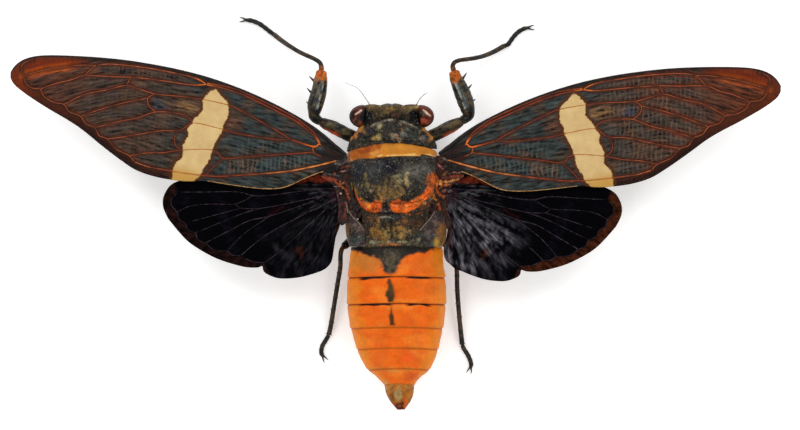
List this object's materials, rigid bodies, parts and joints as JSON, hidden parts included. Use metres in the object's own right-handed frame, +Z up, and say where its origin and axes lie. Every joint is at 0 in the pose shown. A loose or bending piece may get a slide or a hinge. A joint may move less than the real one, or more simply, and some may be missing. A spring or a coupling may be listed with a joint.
{
  "type": "banded cicada",
  "caption": "Life-size still model of a banded cicada with spread dark wings crossed by a cream band, an orange abdomen and an orange collar.",
  "frame": {"origin": "on the floor under the middle of the bounding box, between the two wing tips", "axes": "+Z up, the head faces -Y, +X runs to the animal's left wing tip"},
  "size_m": [0.1349, 0.0691, 0.0166],
  "materials": {
    "dark_chitin": "satin",
    "orange_chitin": "satin",
    "ochre_chitin": "satin",
    "eye": "gloss",
    "leg_chitin": "gloss",
    "tymbal_chitin": "satin",
    "forewing_membrane": "satin",
    "hindwing_membrane": "satin"
  },
  "bodies": {
    "root": {"abdomen_1": "orange_chitin", "abdomen_2": "orange_chitin", "abdomen_3": "orange_chitin", "abdomen_4": "orange_chitin", "abdomen_5": "orange_chitin", "abdomen_6": "orange_chitin", "antenna_left": "leg_chitin", "antenna_right": "leg_chitin", "antennal_plate_left": "dark_chitin", "antennal_plate_right": "dark_chitin", "cruciform_ridge": "ochre_chitin", "eye_left": "eye", "eye_right": "eye", "forewing_left": "forewing_membrane", "forewing_right": "forewing_membrane", "front_left_coxa": "leg_chitin", "front_left_femur": "leg_chitin", "front_left_tarsus": "leg_chitin", "front_left_tibia": "leg_chitin", "front_right_coxa": "leg_chitin", "front_right_femur": "leg_chitin", "front_right_tarsus": "leg_chitin", "front_right_tibia": "leg_chitin", "head": "dark_chitin", "hind_left_coxa": "leg_chitin", "hind_left_femur": "leg_chitin", "hind_left_tarsus": "leg_chitin", "hind_left_tibia": "leg_chitin", "hind_right_coxa": "leg_chitin", "hind_right_femur": "leg_chitin", "hind_right_tarsus": "leg_chitin", "hind_right_tibia": "leg_chitin", "hindwing_left": "hindwing_membrane", "hindwing_right": "hindwing_membrane", "mesonotum": "dark_chitin", "metanotum": "dark_chitin", "middle_left_coxa": "leg_chitin", "middle_left_femur": "leg_chitin", "middle_left_tarsus": "leg_chitin", "middle_left_tibia": "leg_chitin", "middle_right_coxa": "leg_chitin", "middle_right_femur": "leg_chitin", "middle_right_tarsus": "leg_chitin", "middle_right_tibia": "leg_chitin", "operculum_left": "ochre_chitin", "operculum_right": "ochre_chitin", "postclypeus": "dark_chitin", "pronotal_collar": "ochre_chitin", "pronotum": "dark_chitin", "pygofer": "ochre_chitin", "rostrum": "dark_chitin", "thorax": "dark_chitin", "tymbal_cover_left": "tymbal_chitin", "tymbal_cover_right": "tymbal_chitin"}
  },
  "joints": []
}
